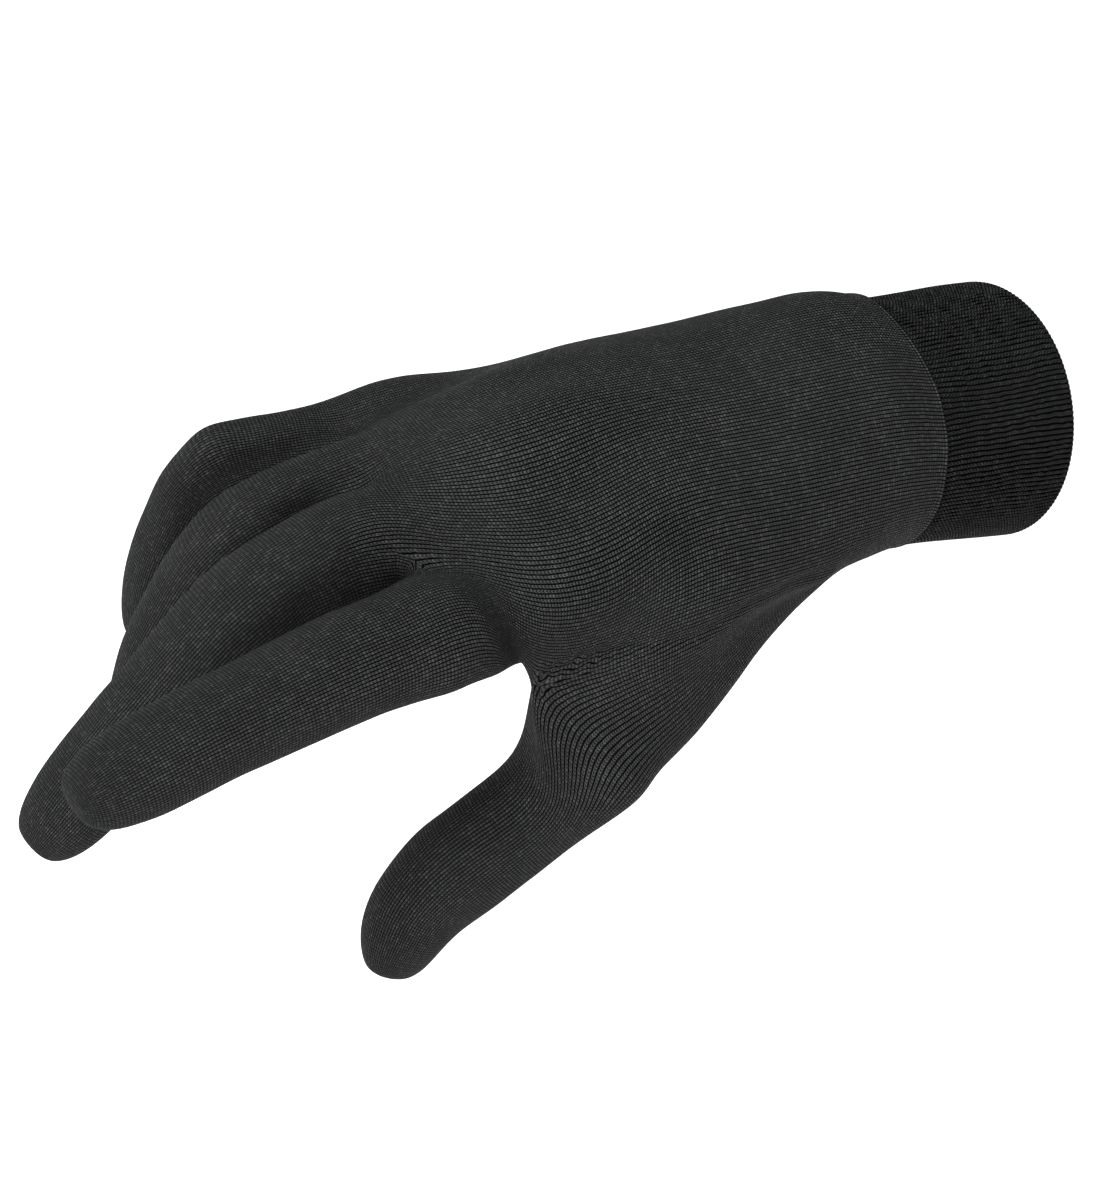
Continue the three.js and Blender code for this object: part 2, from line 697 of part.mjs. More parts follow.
function cuffGeometry() {
  const [mouth, ...rest] = CUFF_STATIONS;
  const stations = [{ ...mouth, x: mouth.x - CUFF_FOLD }, ...rest];
  const outer = stations.map((station) => cuffRing(station, 0)).reverse();
  const inner = stations.map((station) => cuffRing(station, CUFF_WALL));
  const fold = FOLD_SHARES.map((share) => cuffRing(mouth, CUFF_WALL * share));
  const loops = [...outer, ...fold, ...inner];
  const faces = [];
  loops.forEach((loop, k) => {
    const next = loops[(k + 1) % loops.length];
    for (let i = 0; i < CUFF_COLUMNS; i += 1) {
      const beside = (i + 1) % CUFF_COLUMNS;
      faces.push([loop[i], loop[beside], next[beside], next[i]]);
    }
  });
  return solid(faces);
}

function yarn(color) {
  return new THREE.MeshStandardMaterial({ color, roughness: YARN_ROUGHNESS, metalness: 0 });
}

const glove = new THREE.Group();
function add(name, geometry, material) {
  const mesh = new THREE.Mesh(geometry, material);
  mesh.name = name;
  glove.add(mesh);
}

add('cuff', cuffGeometry(), yarn(RIB_COLOUR));
const palmQuads = palmTubeQuads();
const capQuads = new Map();
const stallBands = [];
for (const [name, digit] of Object.entries(digits)) {
  capQuads.set(digit, tipCap(digit));
  stallBands.push(...band(digit, 0, RING, crotchRow(name) + 1, digit.last), ...capQuads.get(digit));
}
const normals = outwardNormals([...palmQuads, ...stallBands]);
add('palm_tube', shell(palmQuads, normals), yarn(KNIT_COLOUR));
for (const [name, digit] of Object.entries(digits)) {
  add(`${name}_stall`, shell(stallQuads(digit, crotchRow(name), normals), normals), yarn(KNIT_COLOUR));
}

export default glove;
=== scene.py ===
"""Studio scene of a knitted glove liner for a right hand, in the shape of the hand."""
import math
from collections import Counter

import bmesh
import bpy
from mathutils import Matrix, Vector, noise


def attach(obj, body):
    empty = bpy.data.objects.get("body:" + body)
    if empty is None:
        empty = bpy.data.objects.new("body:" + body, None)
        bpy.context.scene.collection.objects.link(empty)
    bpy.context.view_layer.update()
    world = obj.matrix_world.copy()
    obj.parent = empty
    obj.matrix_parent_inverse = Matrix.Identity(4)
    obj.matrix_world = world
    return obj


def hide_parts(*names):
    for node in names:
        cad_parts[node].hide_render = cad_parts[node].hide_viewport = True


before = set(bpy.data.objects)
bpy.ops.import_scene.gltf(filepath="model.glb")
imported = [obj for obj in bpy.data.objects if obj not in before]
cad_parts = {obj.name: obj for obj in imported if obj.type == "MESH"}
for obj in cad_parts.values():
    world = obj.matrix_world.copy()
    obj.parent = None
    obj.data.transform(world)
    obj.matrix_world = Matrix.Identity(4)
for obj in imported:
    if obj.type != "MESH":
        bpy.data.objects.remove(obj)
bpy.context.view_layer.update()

# Lengths in the tables are millimetres
MM = 0.001

# Wall of the fabric, wales in a column of the mesh, length of a course, how often the skin is
# subdivided, and how near its points are merged
WALL = 1.1
WALES_PER_COLUMN = 6
COURSE = 0.66
SKIN_LEVELS = 2
WELD = 0.01

# Every tube is a bundle of wale columns: back, side, palm, side
BACK_COLUMNS = 5
SIDE_COLUMNS = 3
RING = 2 * (BACK_COLUMNS + SIDE_COLUMNS)
BACK_ANGLE = 105
SIDE_ANGLE = 180 - BACK_ANGLE
ARC_STEPS = 12
SECTION_STEPS = 48
FINGERS = ("little", "ring", "middle", "index")
FINGER_COLUMNS = len(FINGERS) * BACK_COLUMNS

# Places of a column in its ring
ULNAR_BACK = 0
RADIAL_BACK = BACK_COLUMNS
RADIAL_PALM = BACK_COLUMNS + SIDE_COLUMNS
ULNAR_PALM = RING - SIDE_COLUMNS

# Cuff stations from the open end to the hand seam: x, y, z, half width, half height
CUFF_STATIONS = (
    (0.0, 0.0, 0.0, 27.2, 24.8),
    (-8.0, 0.0, 0.3, 27.4, 24.2),
    (-18.0, -0.4, 0.8, 27.2, 23.2),
    (-26.0, -0.8, 1.3, 27.0, 22.6),
    (-33.0, -1.0, 1.6, 27.2, 22.2),
)
CUFF_WALL = 1.9
CUFF_ROWS = 14
CUFF_SLANT = 1.5
CUFF_SLANT_ANGLE = 20
CUFF_SLANT_REACH = 24

# The hand seam lies nearer to the fingers on the thumb side
SEAM_X = -33
SEAM_SLANT = 3.5
SEAM_SLANT_ANGLE = 205
SEAM_SLANT_REACH = 25

# Ribs of the cuff: how they rise, sway and flatten in the fold and inside the band
RIBS = 150
RIB_STEPS = 6
RIB_DEPTH = 0.4
RIB_FULLNESS = 0.7
RIB_LEVEL = 0.7
RIB_COURSE = 0.8
RIB_SWAY = 0.022
RIB_SWAY_REACH = 11.0
RIB_SWAY_TURN = 3
RIB_INSIDE = 0.7

# The fold at the open end: how far in it starts, how far out it bulges, and its steps
FOLD_START = 0.9
FOLD_BULGE = 0.95
FOLD_ANGLES = (30, 60, 90, 120, 150)

# Palm tube sections: row, x, y, z, half width, back, palm, drop to the ulnar and radial side
PALM_SECTIONS = (
    (0, -33.3, -1.0, 1.6, 27.8, 22.8, 21.8, 0, 0),
    (1, -38.0, -0.9, 1.6, 28.6, 23.6, 21.9, 0.5, 0.3),
    (3, -50.0, -0.5, 1.0, 30.0, 23.6, 21.3, 2.0, 1.5),
    (6, -74.0, 0.5, 0.0, 35.0, 18.6, 19.0, 5.5, 4.0),
    (9, -98.0, 2.0, -1.5, 37.5, 16.2, 17.5, 9.5, 4.0),
)

# Angles of each section that the fingers' back columns and palm columns take, by row
PALM_SPANS = {
    0: (8, 208, 246, 352),
    1: (8, 206, 246, 352),
    3: (9, 202, 245, 351),
    6: (10, 180, 250, 350),
    9: (12, 170, 245, 348),
}
KNUCKLE_ROW = 12
CROTCH_ROW = 15
SEAM_LAP = 0.5

# The line where thumb tube and palm tube are joined, on the back and in the palm, by row
THUMB_JOIN = {
    6: ((-77, -36.5, -8), (-74, -14, -20)),
    9: ((-98, -39, -10), (-96, -15, -24)),
    12: ((-121.5, -29.5, -24), (-112, -18, -28)),
}
THUMB_START_ROW = 3
THUMB_CROTCH_ROW = 12

# Joints of each finger inside the tube
FINGER_JOINTS = {
    "index": (
        (-121.5, -25.5, -4),
        (-165.5, -30, -11.5),
        (-190.5, -32, -18.5),
        (-214, -34.5, -26.5),
    ),
    "middle": (
        (-124.5, -2.5, 3),
        (-169.5, -5, -16),
        (-188.5, -8.5, -39),
        (-205.5, -11.5, -60.5),
    ),
    "ring": (
        (-121, 15.5, -2.5),
        (-162, 17, -21.5),
        (-170, 17.5, -49),
        (-170, 18, -74),
    ),
    "little": (
        (-118, 32, -14),
        (-154, 40, -22),
        (-159.5, 39, -40.5),
        (-160.5, 38, -63),
    ),
}

# Half width, half depth, roll, start of the finger's own tube, half width of its columns and
# height of the back at the knuckle
FINGER_SIZES = {
    "index": (10.3, 9.7, 6, 0.42, 11.5, 11.5),
    "middle": (10.3, 9.5, 0, 0.46, 10.5, 11.8),
    "ring": (9.6, 8.9, -8, 0.44, 9.3, 11.2),
    "little": (8.6, 8.0, -16, 0.42, 9.0, 11.0),
}
KNUCKLE_PALM = 14.0
KNUCKLE_CROWN = 2.2
KNUCKLE_SHARES = (-0.8, -0.4, 0, 0.4, 0.8)
INDEX_TAUT = {"half": 1.08, "back": (-50, 100), "palm": (185, 230)}
THUMB_TAUT = 35
ULNAR_BULGE = 8
RELAX_PASSES = 40
RELAX_SHARES = (0.5, -0.52)

# Stations along a finger: place in joints, rows since the last station, half width, back, palm
FINGER_STATIONS = (
    (None, 3, 1.02, 1.0, 1.12),
    (0.76, 2, 0.98, 1.0, 1.06),
    (0.98, 2, 1.0, 1.04, 0.98),
    (1.30, 2, 0.95, 0.96, 0.98),
    (1.65, 1, 0.92, 0.90, 0.98),
    (2.00, 2, 0.92, 0.90, 0.90),
    (2.40, 2, 0.90, 0.85, 0.93),
    (2.70, 1, 0.84, 0.75, 0.84),
    (2.88, 1, 0.69, 0.57, 0.65),
    (2.97, 1, 0.48, 0.36, 0.42),
)
THUMB_JOINTS = (
    (-63.5, -18, -12),
    (-96.5, -30.8, -41.8),
    (-122, -30, -66.3),
    (-131.2, -29, -77.2),
    (-137, -33.5, -91.5),
)
THUMB_HALF = 11.2
THUMB_DEPTH = 10.4
THUMB_SIDE = (0.7, -0.07, -0.71)
THUMB_STATIONS = (
    (0.40, 3, 1.10, 0.95, 1.15),
    (0.78, 3, 1.12, 1.0, 1.15),
    (1.12, 3, 1.14, 1.0, 1.05),
    (1.50, 3, 1.00, 0.96, 0.98),
    (1.95, 2, 1.0, 0.96, 0.92),
    (2.60, 2, 0.97, 0.90, 0.94),
    (3.10, 1, 0.92, 0.82, 0.90),
    (3.50, 1, 0.82, 0.68, 0.76),
    (3.78, 1, 0.66, 0.50, 0.58),
    (3.94, 1, 0.46, 0.33, 0.38),
)
BEND = 0.3
FRAME_STEP = 0.05

# The closing of a tip: height of its dome, and courses in a row of it
TIP_DOME = 0.9
TIP_COURSES = 3

# Camera of the product picture
CAMERA_PLACE = (-407.8, -346.3, 309.4)
CAMERA_RIGHT = (0.83095, -0.49603, 0.25195)
CAMERA_UP = (0.14292, 0.62799, 0.76499)
CAMERA_LENS = 90
CAMERA_SENSOR = 36
CAMERA_CLIP = (0.01, 50)

# Studio, in metres: the floor, the point that the lights aim at, and the lights by place, size,
# power and colour
FLOOR_HALF = 6
FLOOR_HEIGHT = -0.32
FLOOR_COLOUR = (0.93, 0.93, 0.93, 1)
FLOOR_ROUGHNESS = 0.7
FLOOR_GLOW = 0.8
SKY = 0.05
LIGHT_AIM = (-0.1, 0, -0.02)
LIGHTS = {
    "Key light": ((-0.85, -0.25, 1.15), 0.7, 25.5, (0.95, 0.98, 1.0)),
    "Back light": ((-0.1, 1.1, 0.9), 0.9, 3, (0.88, 0.95, 1.0)),
    "Fill light": ((-1.5, -0.7, 0.1), 1.2, 2, (1.0, 0.96, 0.9)),
}
WHITE = (1, 1, 1, 1)
BLACK = (0, 0, 0, 1)

# Soft unevenness of the worn knit: size of its waves and their height
UNEVEN = ((16.0, 0.30), (7.0, 0.14))

# The crease where the thumb is joined on, from its crotch to the heel of the hand
JOIN_CREASE = (
    (-121, -31, -21),
    (-117, -33, -17),
    (-112, -34, -15),
    (-106, -36, -13),
    (-94, -38, -12),
    (-84, -37, -7),
    (-74, -35, -6),
    (-63, -32, -5),
)
CREASE_DEPTH = 0.75
CREASE_WIDTH = 1.7
GATHER_WIDTH = 4.0
GATHER_LENGTH = 16.0

# Places where loose knit puffs up or sinks between the fingers: centre, reach and height
PUFFS = (
    ((-43, 14, 22), 11, 1.7),
    ((-60, 17, 18), 11, 0.9),
    ((-63, -33, -7), 4.5, 1.1),
    ((-147, -39, -10), 5, 1.0),
    ((-102, -40, -46), 9, 1.3),
    ((-121, -34, -24), 4, 0.9),
    ((-156, 40, -16), 5, 1.5),
    ((-141, -16, 0), 5, -1.6),
    ((-143, 8, -4), 5, -1.8),
    ((-150, 9, -9), 4, -1.2),
    ((-134, 31, -9), 5, -2.0),
    ((-142, 31, -13), 4, -1.4),
    ((-148, 32, -15), 5, -2.0),
    ((-154, 33, -18), 5, -2.0),
    ((-159, 33, -24), 5, -1.6),
    ((-154, 10, -11), 4, -1.4),
    ((-147, -14, -1), 4, -1.2),
    ((-154, -14, -5), 4, -1.4),
    ((-162, -15, -10), 4, -1.4),
)
HEM_RISE = 0.35

# The cloth spans the hollow at the root of the index finger: centre, reach and move
SPAN_CENTRE = (-132, -31, -6)
SPAN_REACH = 9.0
SPAN_MOVE = (0, -2.6, -0.6)

# A stitch, in shares of a wale across and of a course along: where its yarn stands high
LEG_PLACE = 0.25
WALE_SHARE = 0.65
SWELL_SHARE = 0.6
WANDER_SCALE = 0.35
WANDER_DETAIL = 1.0
WANDER_ACROSS = 2.0

# Where a stitch is dark: between wales, and in the crook of its V
GAP_RANGE = (0.2, 0.44)
CROOK_ACROSS = (0.16, 0.03)
CROOK_ALONG = (0.6, 0.25)
CROOK_DARK = 0.8

# Yarns: colour, lean of the legs, wander of the wales, height of the stitches in millimetres,
# and how dark the holes between stitches are
YARNS = {
    "Plain black knit": ((0.08, 0.08, 0.079, 1), 0.8, 0.14, 0.6, 0.6),
    "Ribbed black knit": ((0.04, 0.04, 0.04, 1), 1.4, 0.3, 0.55, 0.95),
}
HOLE_RANGE = (0.9, 0.25)
GATHER_WANDER = 1.1

# Patches of dye, fibres of the yarn, and stitches with a painted glint
DYE_SCALE = 90
DYE_SHARE = 0.5
FIBRE_SCALE = 2600
FIBRE_DETAIL = 3.0
FIBRE_SHARE = 0.5
FIBRE_BUMP = 0.25
LIT_POWER = 4.0
LIT_SHARE = 0.6
UNLIT = 0.9

# Lint, in rare patches
LINT_SCALE = 170
LINT_SIZE = 0.035
LINT_PATCHES = 60
LINT_RANGE = (0.55, 0.7)
LINT_COVER = 0.5
LINT_COLOUR = (0.12, 0.12, 0.12, 1)

# Painted shade darkens the cloth in the narrow valleys between fingers: how far it feels what is
# near, how open a place is where this starts and ends, and the share of its colour that is left at
# the most
NARROW_REACH = 14
NARROW_SAMPLES = 6
NARROW_RANGE = (0.3, 0.85)
NARROW_SHADE = 0.25

# Roughness of the yarn, what the gaps add to it, and the yarn's faint gloss
YARN_ROUGHNESS = 0.55
GAP_ROUGHNESS = 0.4
YARN_GLOSS = 0.05


def along_joints(joints, at):
    """A bent centre line, straight on the bones and rounded over each joint."""
    k = min(max(round(at), 1), len(joints) - 2)
    off = at - k
    if abs(off) < BEND:
        before = joints[k].lerp(joints[k - 1], BEND)
        after = joints[k].lerp(joints[k + 1], BEND)
        t = (off + BEND) / (2 * BEND)
        return before.lerp(joints[k], t).lerp(joints[k].lerp(after, t), t)
    bone = min(max(math.floor(at), 0), len(joints) - 2)
    return joints[bone] + (joints[bone + 1] - joints[bone]) * (at - bone)


def tube_section(joints, side, at, half, back, palm):
    """A section of a tube: its centre, its two directions and its sizes."""
    ahead = along_joints(joints, at + FRAME_STEP) - along_joints(joints, at - FRAME_STEP)
    tangent = ahead.normalized()
    normal = tangent.cross(side).normalized()
    return along_joints(joints, at), normal, normal.cross(tangent), half, back, palm


def tube_point(section, angle):
    point, normal, across, half, back, palm = section
    rise = math.cos(math.radians(angle))
    depth = back if rise > 0 else palm
    return point + across * half * math.sin(math.radians(angle)) + normal * depth * rise


def tube_arc(section, start, end):
    step = (end - start) / ARC_STEPS
    return [tube_point(section, start + step * n) for n in range(ARC_STEPS + 1)]


def even_points(line, count):
    """Points at even lengths along a line."""
    lengths = [0.0]
    for a, b in zip(line, line[1:]):
        lengths.append(lengths[-1] + (b - a).length)
    points = []
    for n in range(count + 1):
        target = lengths[-1] * n / count
        k = 1
        while k < len(line) - 1 and lengths[k] < target:
            k += 1
        share = (target - lengths[k - 1]) / (lengths[k] - lengths[k - 1])
        points.append(line[k - 1].lerp(line[k], share))
    return points


def closed_ring(section):
    """Ring of a closed tube: back columns, radial side, palm columns, ulnar side."""
    ring = []
    for place in range(RING):
        angle = (place / BACK_COLUMNS - 0.5) * BACK_ANGLE
        if place > RADIAL_BACK:
            angle = BACK_ANGLE / 2 + (place - RADIAL_BACK) / SIDE_COLUMNS * SIDE_ANGLE
        if place >= RADIAL_PALM:
            angle = 180 + ((place - RADIAL_PALM) / BACK_COLUMNS - 0.5) * BACK_ANGLE
        if place > ULNAR_PALM:
            angle = 180 + BACK_ANGLE / 2 + (place - ULNAR_PALM) / SIDE_COLUMNS * SIDE_ANGLE
        ring.append(tube_point(section, angle))
    return ring


def thumb_base_ring(section, join):
    """Ring of the thumb in the palm tube, taut from the join line to its sides."""
    join_back, join_palm = Vector(join[0]), Vector(join[1])
    back_end = BACK_ANGLE / 2
    palm_start = 180 - BACK_ANGLE / 2
    back = even_points([join_back] + tube_arc(section, -THUMB_TAUT, back_end), BACK_COLUMNS)
    palm = even_points(tube_arc(section, palm_start, 180 + THUMB_TAUT) + [join_palm], BACK_COLUMNS)
    side = even_points(tube_arc(section, back_end, palm_start), SIDE_COLUMNS)
    web = even_points([join_palm, join_back], SIDE_COLUMNS)
    return back + side[1:-1] + palm + web[1:-1]


def spline_rows(keys):
    """A smooth curve through the (row, point) keys of a column, row by row."""
    rows = []
    for k in range(len(keys) - 1):
        steps = keys[k + 1][0] - keys[k][0]
        rows.extend(between(keys, k, s / steps) for s in range(steps))
    rows.append(keys[-1][1].copy())
    return rows


def between(keys, k, t):
    p1, p2 = keys[k][1], keys[k + 1][1]
    span = keys[k + 1][0] - keys[k][0]
    m1, m2 = p2 - p1, p2 - p1
    if k > 0:
        m1 = (p2 - keys[k - 1][1]) * (span / (keys[k + 1][0] - keys[k - 1][0]))
    if k + 2 < len(keys):
        m2 = (keys[k + 2][1] - p1) * (span / (keys[k + 2][0] - keys[k][0]))
    t2, t3 = t * t, t * t * t
    start, end = 2 * t3 - 3 * t2 + 1, 3 * t2 - 2 * t3
    return p1 * start + m1 * (t3 - 2 * t2 + t) + p2 * end + m2 * (t3 - t2)


def seam_shift(x, angle):
    """How far the slant of the seam moves a point towards the fingers."""
    near = max(0.0, 1 - abs(x - SEAM_X) / SEAM_SLANT_REACH)
    return SEAM_SLANT * near * (1 + math.cos(angle - math.radians(SEAM_SLANT_ANGLE))) / 2


def section_line(section, start, end):
    """Points on a palm section between two angles."""
    _, x, y, z, half, back, palm, ulnar_drop, radial_drop = section
    points = []
    for n in range(SECTION_STEPS + 1):
        angle = math.radians(start + (end - start) * n / SECTION_STEPS)
        reach, rise = math.cos(angle), math.sin(angle)
        height = (back if rise > 0 else palm) * rise
        drop = (ulnar_drop if reach > 0 else radial_drop) * reach * reach
        points.append(Vector((x - seam_shift(x, angle), y + half * reach, z + height - drop)))
    return points


def section_row(section):
    """Fixed row of the palm tube: its back, palm, ulnar and thumb lines."""
    row = section[0]
    back_from, back_to, palm_from, palm_to = PALM_SPANS[row]
    back = section_line(section, back_from, back_to)
    palm = section_line(section, palm_from, palm_to)
    thumb = section_line(section, back_to, palm_from)
    ulnar = section_line(section, palm_to - 360, back_from)
    if row in THUMB_JOIN:
        back.append(Vector(THUMB_JOIN[row][0]))
        palm.insert(0, Vector(THUMB_JOIN[row][1]))
    return {
        "row": row,
        "back": even_points(back, FINGER_COLUMNS),
        "palm": even_points(palm, FINGER_COLUMNS),
        "ulnar": even_points(ulnar, SIDE_COLUMNS),
        "thumb": even_points(thumb, 2 * BACK_COLUMNS + SIDE_COLUMNS),
    }


def finger_joints(name):
    return [Vector(joint) for joint in FINGER_JOINTS[name]]


def finger_side(name):
    """The way the width of a finger lies."""
    joints = finger_joints(name)
    reach = joints[-1] - joints[0]
    reach.z = 0
    reach.normalize()
    side = Vector((0, 0, 1)).cross(reach).normalized()
    return Matrix.Rotation(math.radians(FINGER_SIZES[name][2]), 3, reach) @ side


def knuckle_point(name, share, on_back):
    spread, knuckle_back = FINGER_SIZES[name][4:]
    sag = KNUCKLE_CROWN * share * share
    height = knuckle_back - sag if on_back else sag - KNUCKLE_PALM
    return finger_joints(name)[0] + finger_side(name) * spread * share + Vector((0, 0, height))


def knuckle_row():
    """The row over the knuckles."""
    join_back, join_palm = THUMB_JOIN[KNUCKLE_ROW]
    back, palm = [], []
    for name in FINGERS[:-1]:
        for share in KNUCKLE_SHARES:
            back.append(knuckle_point(name, share, True))
            palm.insert(0, knuckle_point(name, share, False))
    corners = [knuckle_point("little", -1, False), knuckle_point("little", -1, True)]
    back.insert(0, corners[1])
    palm.append(corners[0])
    half = FINGER_SIZES["index"][0] * INDEX_TAUT["half"]
    knuckle_back = FINGER_SIZES["index"][5]
    side = finger_side("index")
    section = tube_section(finger_joints("index"), side, 0, half, knuckle_back, KNUCKLE_PALM)
    back += tube_arc(section, *INDEX_TAUT["back"]) + [Vector(join_back)]
    palm = [Vector(join_palm)] + tube_arc(section, *INDEX_TAUT["palm"]) + palm
    bulge = (corners[0] + corners[1]) / 2 - finger_side("little") * ULNAR_BULGE
    ulnar = []
    for n in range(ARC_STEPS + 1):
        t = n / ARC_STEPS
        ulnar.append(corners[0].lerp(bulge, t).lerp(bulge.lerp(corners[1], t), t))
    return {
        "row": KNUCKLE_ROW,
        "back": even_points(back, FINGER_COLUMNS),
        "palm": even_points(palm, FINGER_COLUMNS),
        "ulnar": even_points(ulnar, SIDE_COLUMNS),
    }


def palm_keys(palm_rows, name, place):
    """Keys of a finger's column where it is part of the palm tube."""
    order = FINGERS.index(name)
    if place <= RADIAL_BACK:
        column = order * BACK_COLUMNS + place
        return [(line["row"], line["back"][column]) for line in palm_rows]
    if RADIAL_PALM <= place <= ULNAR_PALM:
        column = (len(FINGERS) - 1 - order) * BACK_COLUMNS + place - RADIAL_PALM
        return [(line["row"], line["palm"][column]) for line in palm_rows]
    if name == "little" and place > ULNAR_PALM:
        return [(line["row"], line["ulnar"][place - ULNAR_PALM]) for line in palm_rows]
    if name == "index" and place < RADIAL_PALM:
        web = even_points([Vector(end) for end in THUMB_JOIN[THUMB_CROTCH_ROW]], SIDE_COLUMNS)
        return [(THUMB_CROTCH_ROW, web[place - RADIAL_BACK])]
    return []


class Tube:
    """A digit as columns of points, from the seam to its tip."""

    def __init__(self):
        self.columns = []
        self.last = 0

    def add_column(self, keys):
        self.columns.append((keys[0][0], spline_rows(keys)))

    def at(self, place, row):
        first, rows = self.columns[place % RING]
        return rows[row - first]

    def set_at(self, place, row, point):
        first, rows = self.columns[place % RING]
        rows[row - first] = point


def finger_tube(palm_rows, name):
    half, depth, _, root, _, _ = FINGER_SIZES[name]
    joints, side = finger_joints(name), finger_side(name)
    rings = []
    row = KNUCKLE_ROW
    for at, rows, wide, back, palm in FINGER_STATIONS:
        row += rows
        place = root if at is None else at
        section = tube_section(joints, side, place, half * wide, depth * back, depth * palm)
        rings.append((row, closed_ring(section)))
    tube = Tube()
    for place in range(RING):
        own = [(line, ring[place]) for line, ring in rings]
        tube.add_column(palm_keys(palm_rows, name, place) + own)
    tube.last = row
    return tube


def thumb_tube(palm_rows):
    side = Vector(THUMB_SIDE).normalized()
    joints = [Vector(joint) for joint in THUMB_JOINTS]
    rings = [(line["row"], line["thumb"]) for line in palm_rows if line["row"] <= THUMB_START_ROW]
    row = THUMB_START_ROW
    for at, rows, wide, back, palm in THUMB_STATIONS:
        row += rows
        depth_back, depth_palm = THUMB_DEPTH * back, THUMB_DEPTH * palm
        section = tube_section(joints, side, at, THUMB_HALF * wide, depth_back, depth_palm)
        if row in THUMB_JOIN:
            rings.append((row, thumb_base_ring(section, THUMB_JOIN[row])))
        else:
            rings.append((row, closed_ring(section)))
    tube = Tube()
    for place in range(RING):
        first = THUMB_CROTCH_ROW if place > ULNAR_PALM else 0
        tube.add_column([(line, ring[place]) for line, ring in rings if line >= first])
    tube.last = row
    return tube


def share_columns(ulnar, radial, last_row):
    """Neighbouring tubes share their edge points up to the crotch between them."""
    for row in range(last_row + 1):
        pairs = [(RADIAL_BACK, ULNAR_BACK), (RADIAL_PALM, ULNAR_PALM)]
        if row == last_row:
            pairs += [(RADIAL_BACK + s, RING - s) for s in range(1, SIDE_COLUMNS)]
        for a, b in pairs:
            point = ulnar.at(a, row).lerp(radial.at(b, row), 0.5)
            ulnar.set_at(a, row, point)
            radial.set_at(b, row, point)


def strips():
    """Strips of the palm tube: name of the tube, first and last place, first and last row."""
    listed = []
    for name in FINGERS:
        listed.append((name, ULNAR_BACK, RADIAL_BACK, 0, CROTCH_ROW))
        listed.append((name, RADIAL_PALM, ULNAR_PALM, 0, CROTCH_ROW))
        listed.append((name, 0, RING, CROTCH_ROW, CROTCH_ROW + 1))
    listed.append(("little", ULNAR_PALM, RING, 0, CROTCH_ROW))
    listed.append(("index", RADIAL_BACK, RADIAL_PALM, THUMB_CROTCH_ROW, CROTCH_ROW))
    listed.append(("thumb", ULNAR_BACK, ULNAR_PALM, 0, THUMB_CROTCH_ROW))
    listed.append(("thumb", 0, RING, THUMB_CROTCH_ROW, THUMB_CROTCH_ROW + 1))
    return listed


def crotch_row(name):
    return THUMB_CROTCH_ROW if name == "thumb" else CROTCH_ROW


def relax(tubes):
    """The fabric evens itself out between the seam and the crotches."""
    points, beside = {}, {}
    for name, start, end, first, last in strips():
        tube = tubes[name]
        for row in range(first, last):
            for place in range(start, end):
                corners = [tube.at(place, row), tube.at(place, row + 1)]
                corners += [tube.at(place + 1, row + 1), tube.at(place + 1, row)]
                for k, point in enumerate(corners):
                    points[id(point)] = point
                    near = beside.setdefault(id(point), {})
                    near[id(corners[k - 1])] = corners[k - 1]
                    near[id(corners[(k + 1) % 4])] = corners[(k + 1) % 4]
    fixed = set()
    for name, tube in tubes.items():
        for first, rows in tube.columns:
            fixed.add(id(rows[0]))
            fixed.update(id(point) for point in rows[crotch_row(name) - first:])
    for n in range(RELAX_PASSES):
        moved = {}
        for key, near in beside.items():
            if key not in fixed:
                middle = sum(near.values(), Vector()) / len(near)
                moved[key] = points[key].lerp(middle, RELAX_SHARES[n % 2])
        for key, place in moved.items():
            points[key].xyz = place


def glove_tubes():
    palm_rows = [section_row(section) for section in PALM_SECTIONS] + [knuckle_row()]
    tubes = {name: finger_tube(palm_rows, name) for name in FINGERS}
    tubes["thumb"] = thumb_tube(palm_rows)
    for ulnar, radial in zip(FINGERS, FINGERS[1:]):
        share_columns(tubes[ulnar], tubes[radial], CROTCH_ROW)
    share_columns(tubes["index"], tubes["thumb"], THUMB_CROTCH_ROW)
    relax(tubes)
    return tubes


def grow_row(bm, edges, verts):
    """Extrudes a line of edges and gives each old vertex's new one, in the same order."""
    made = bmesh.ops.extrude_edge_only(bm, edges=edges)["geom"]
    fresh = {item for item in made if isinstance(item, bmesh.types.BMVert)}
    next_verts = []
    for vert in verts:
        ends = [edge.other_vert(vert) for edge in vert.link_edges]
        next_verts.append(next(end for end in ends if end in fresh))
    next_edges = [item for item in made if isinstance(item, bmesh.types.BMEdge)]
    return [e for e in next_edges if e.verts[0] in fresh and e.verts[1] in fresh], next_verts


def course_counts(tubes):
    """How many courses lie between the seam and each row of each tube."""
    shared = [0.0]
    for row in range(CROTCH_ROW + 1):
        steps = []
        for name in FINGERS:
            for place in range(RADIAL_BACK + 1):
                tube = tubes[name]
                steps.append((tube.at(place, row + 1) - tube.at(place, row)).length)
        shared.append(shared[-1] + sum(steps) / len(steps) / COURSE)
    counts = {}
    for name, tube in tubes.items():
        own = shared[:crotch_row(name) + 1]
        for row in range(crotch_row(name), tube.last):
            steps = [(tube.at(p, row + 1) - tube.at(p, row)).length for p in range(RING)]
            own.append(own[-1] + sum(steps) / RING / COURSE)
        counts[name] = own
    return counts


def map_knit(knit, count):
    """Writes the wale and course of each vertex to the corners of its faces."""
    for face in {face for vert in count for face in vert.link_faces}:
        for loop in face.loops:
            loop[knit].uv = count[loop.vert]


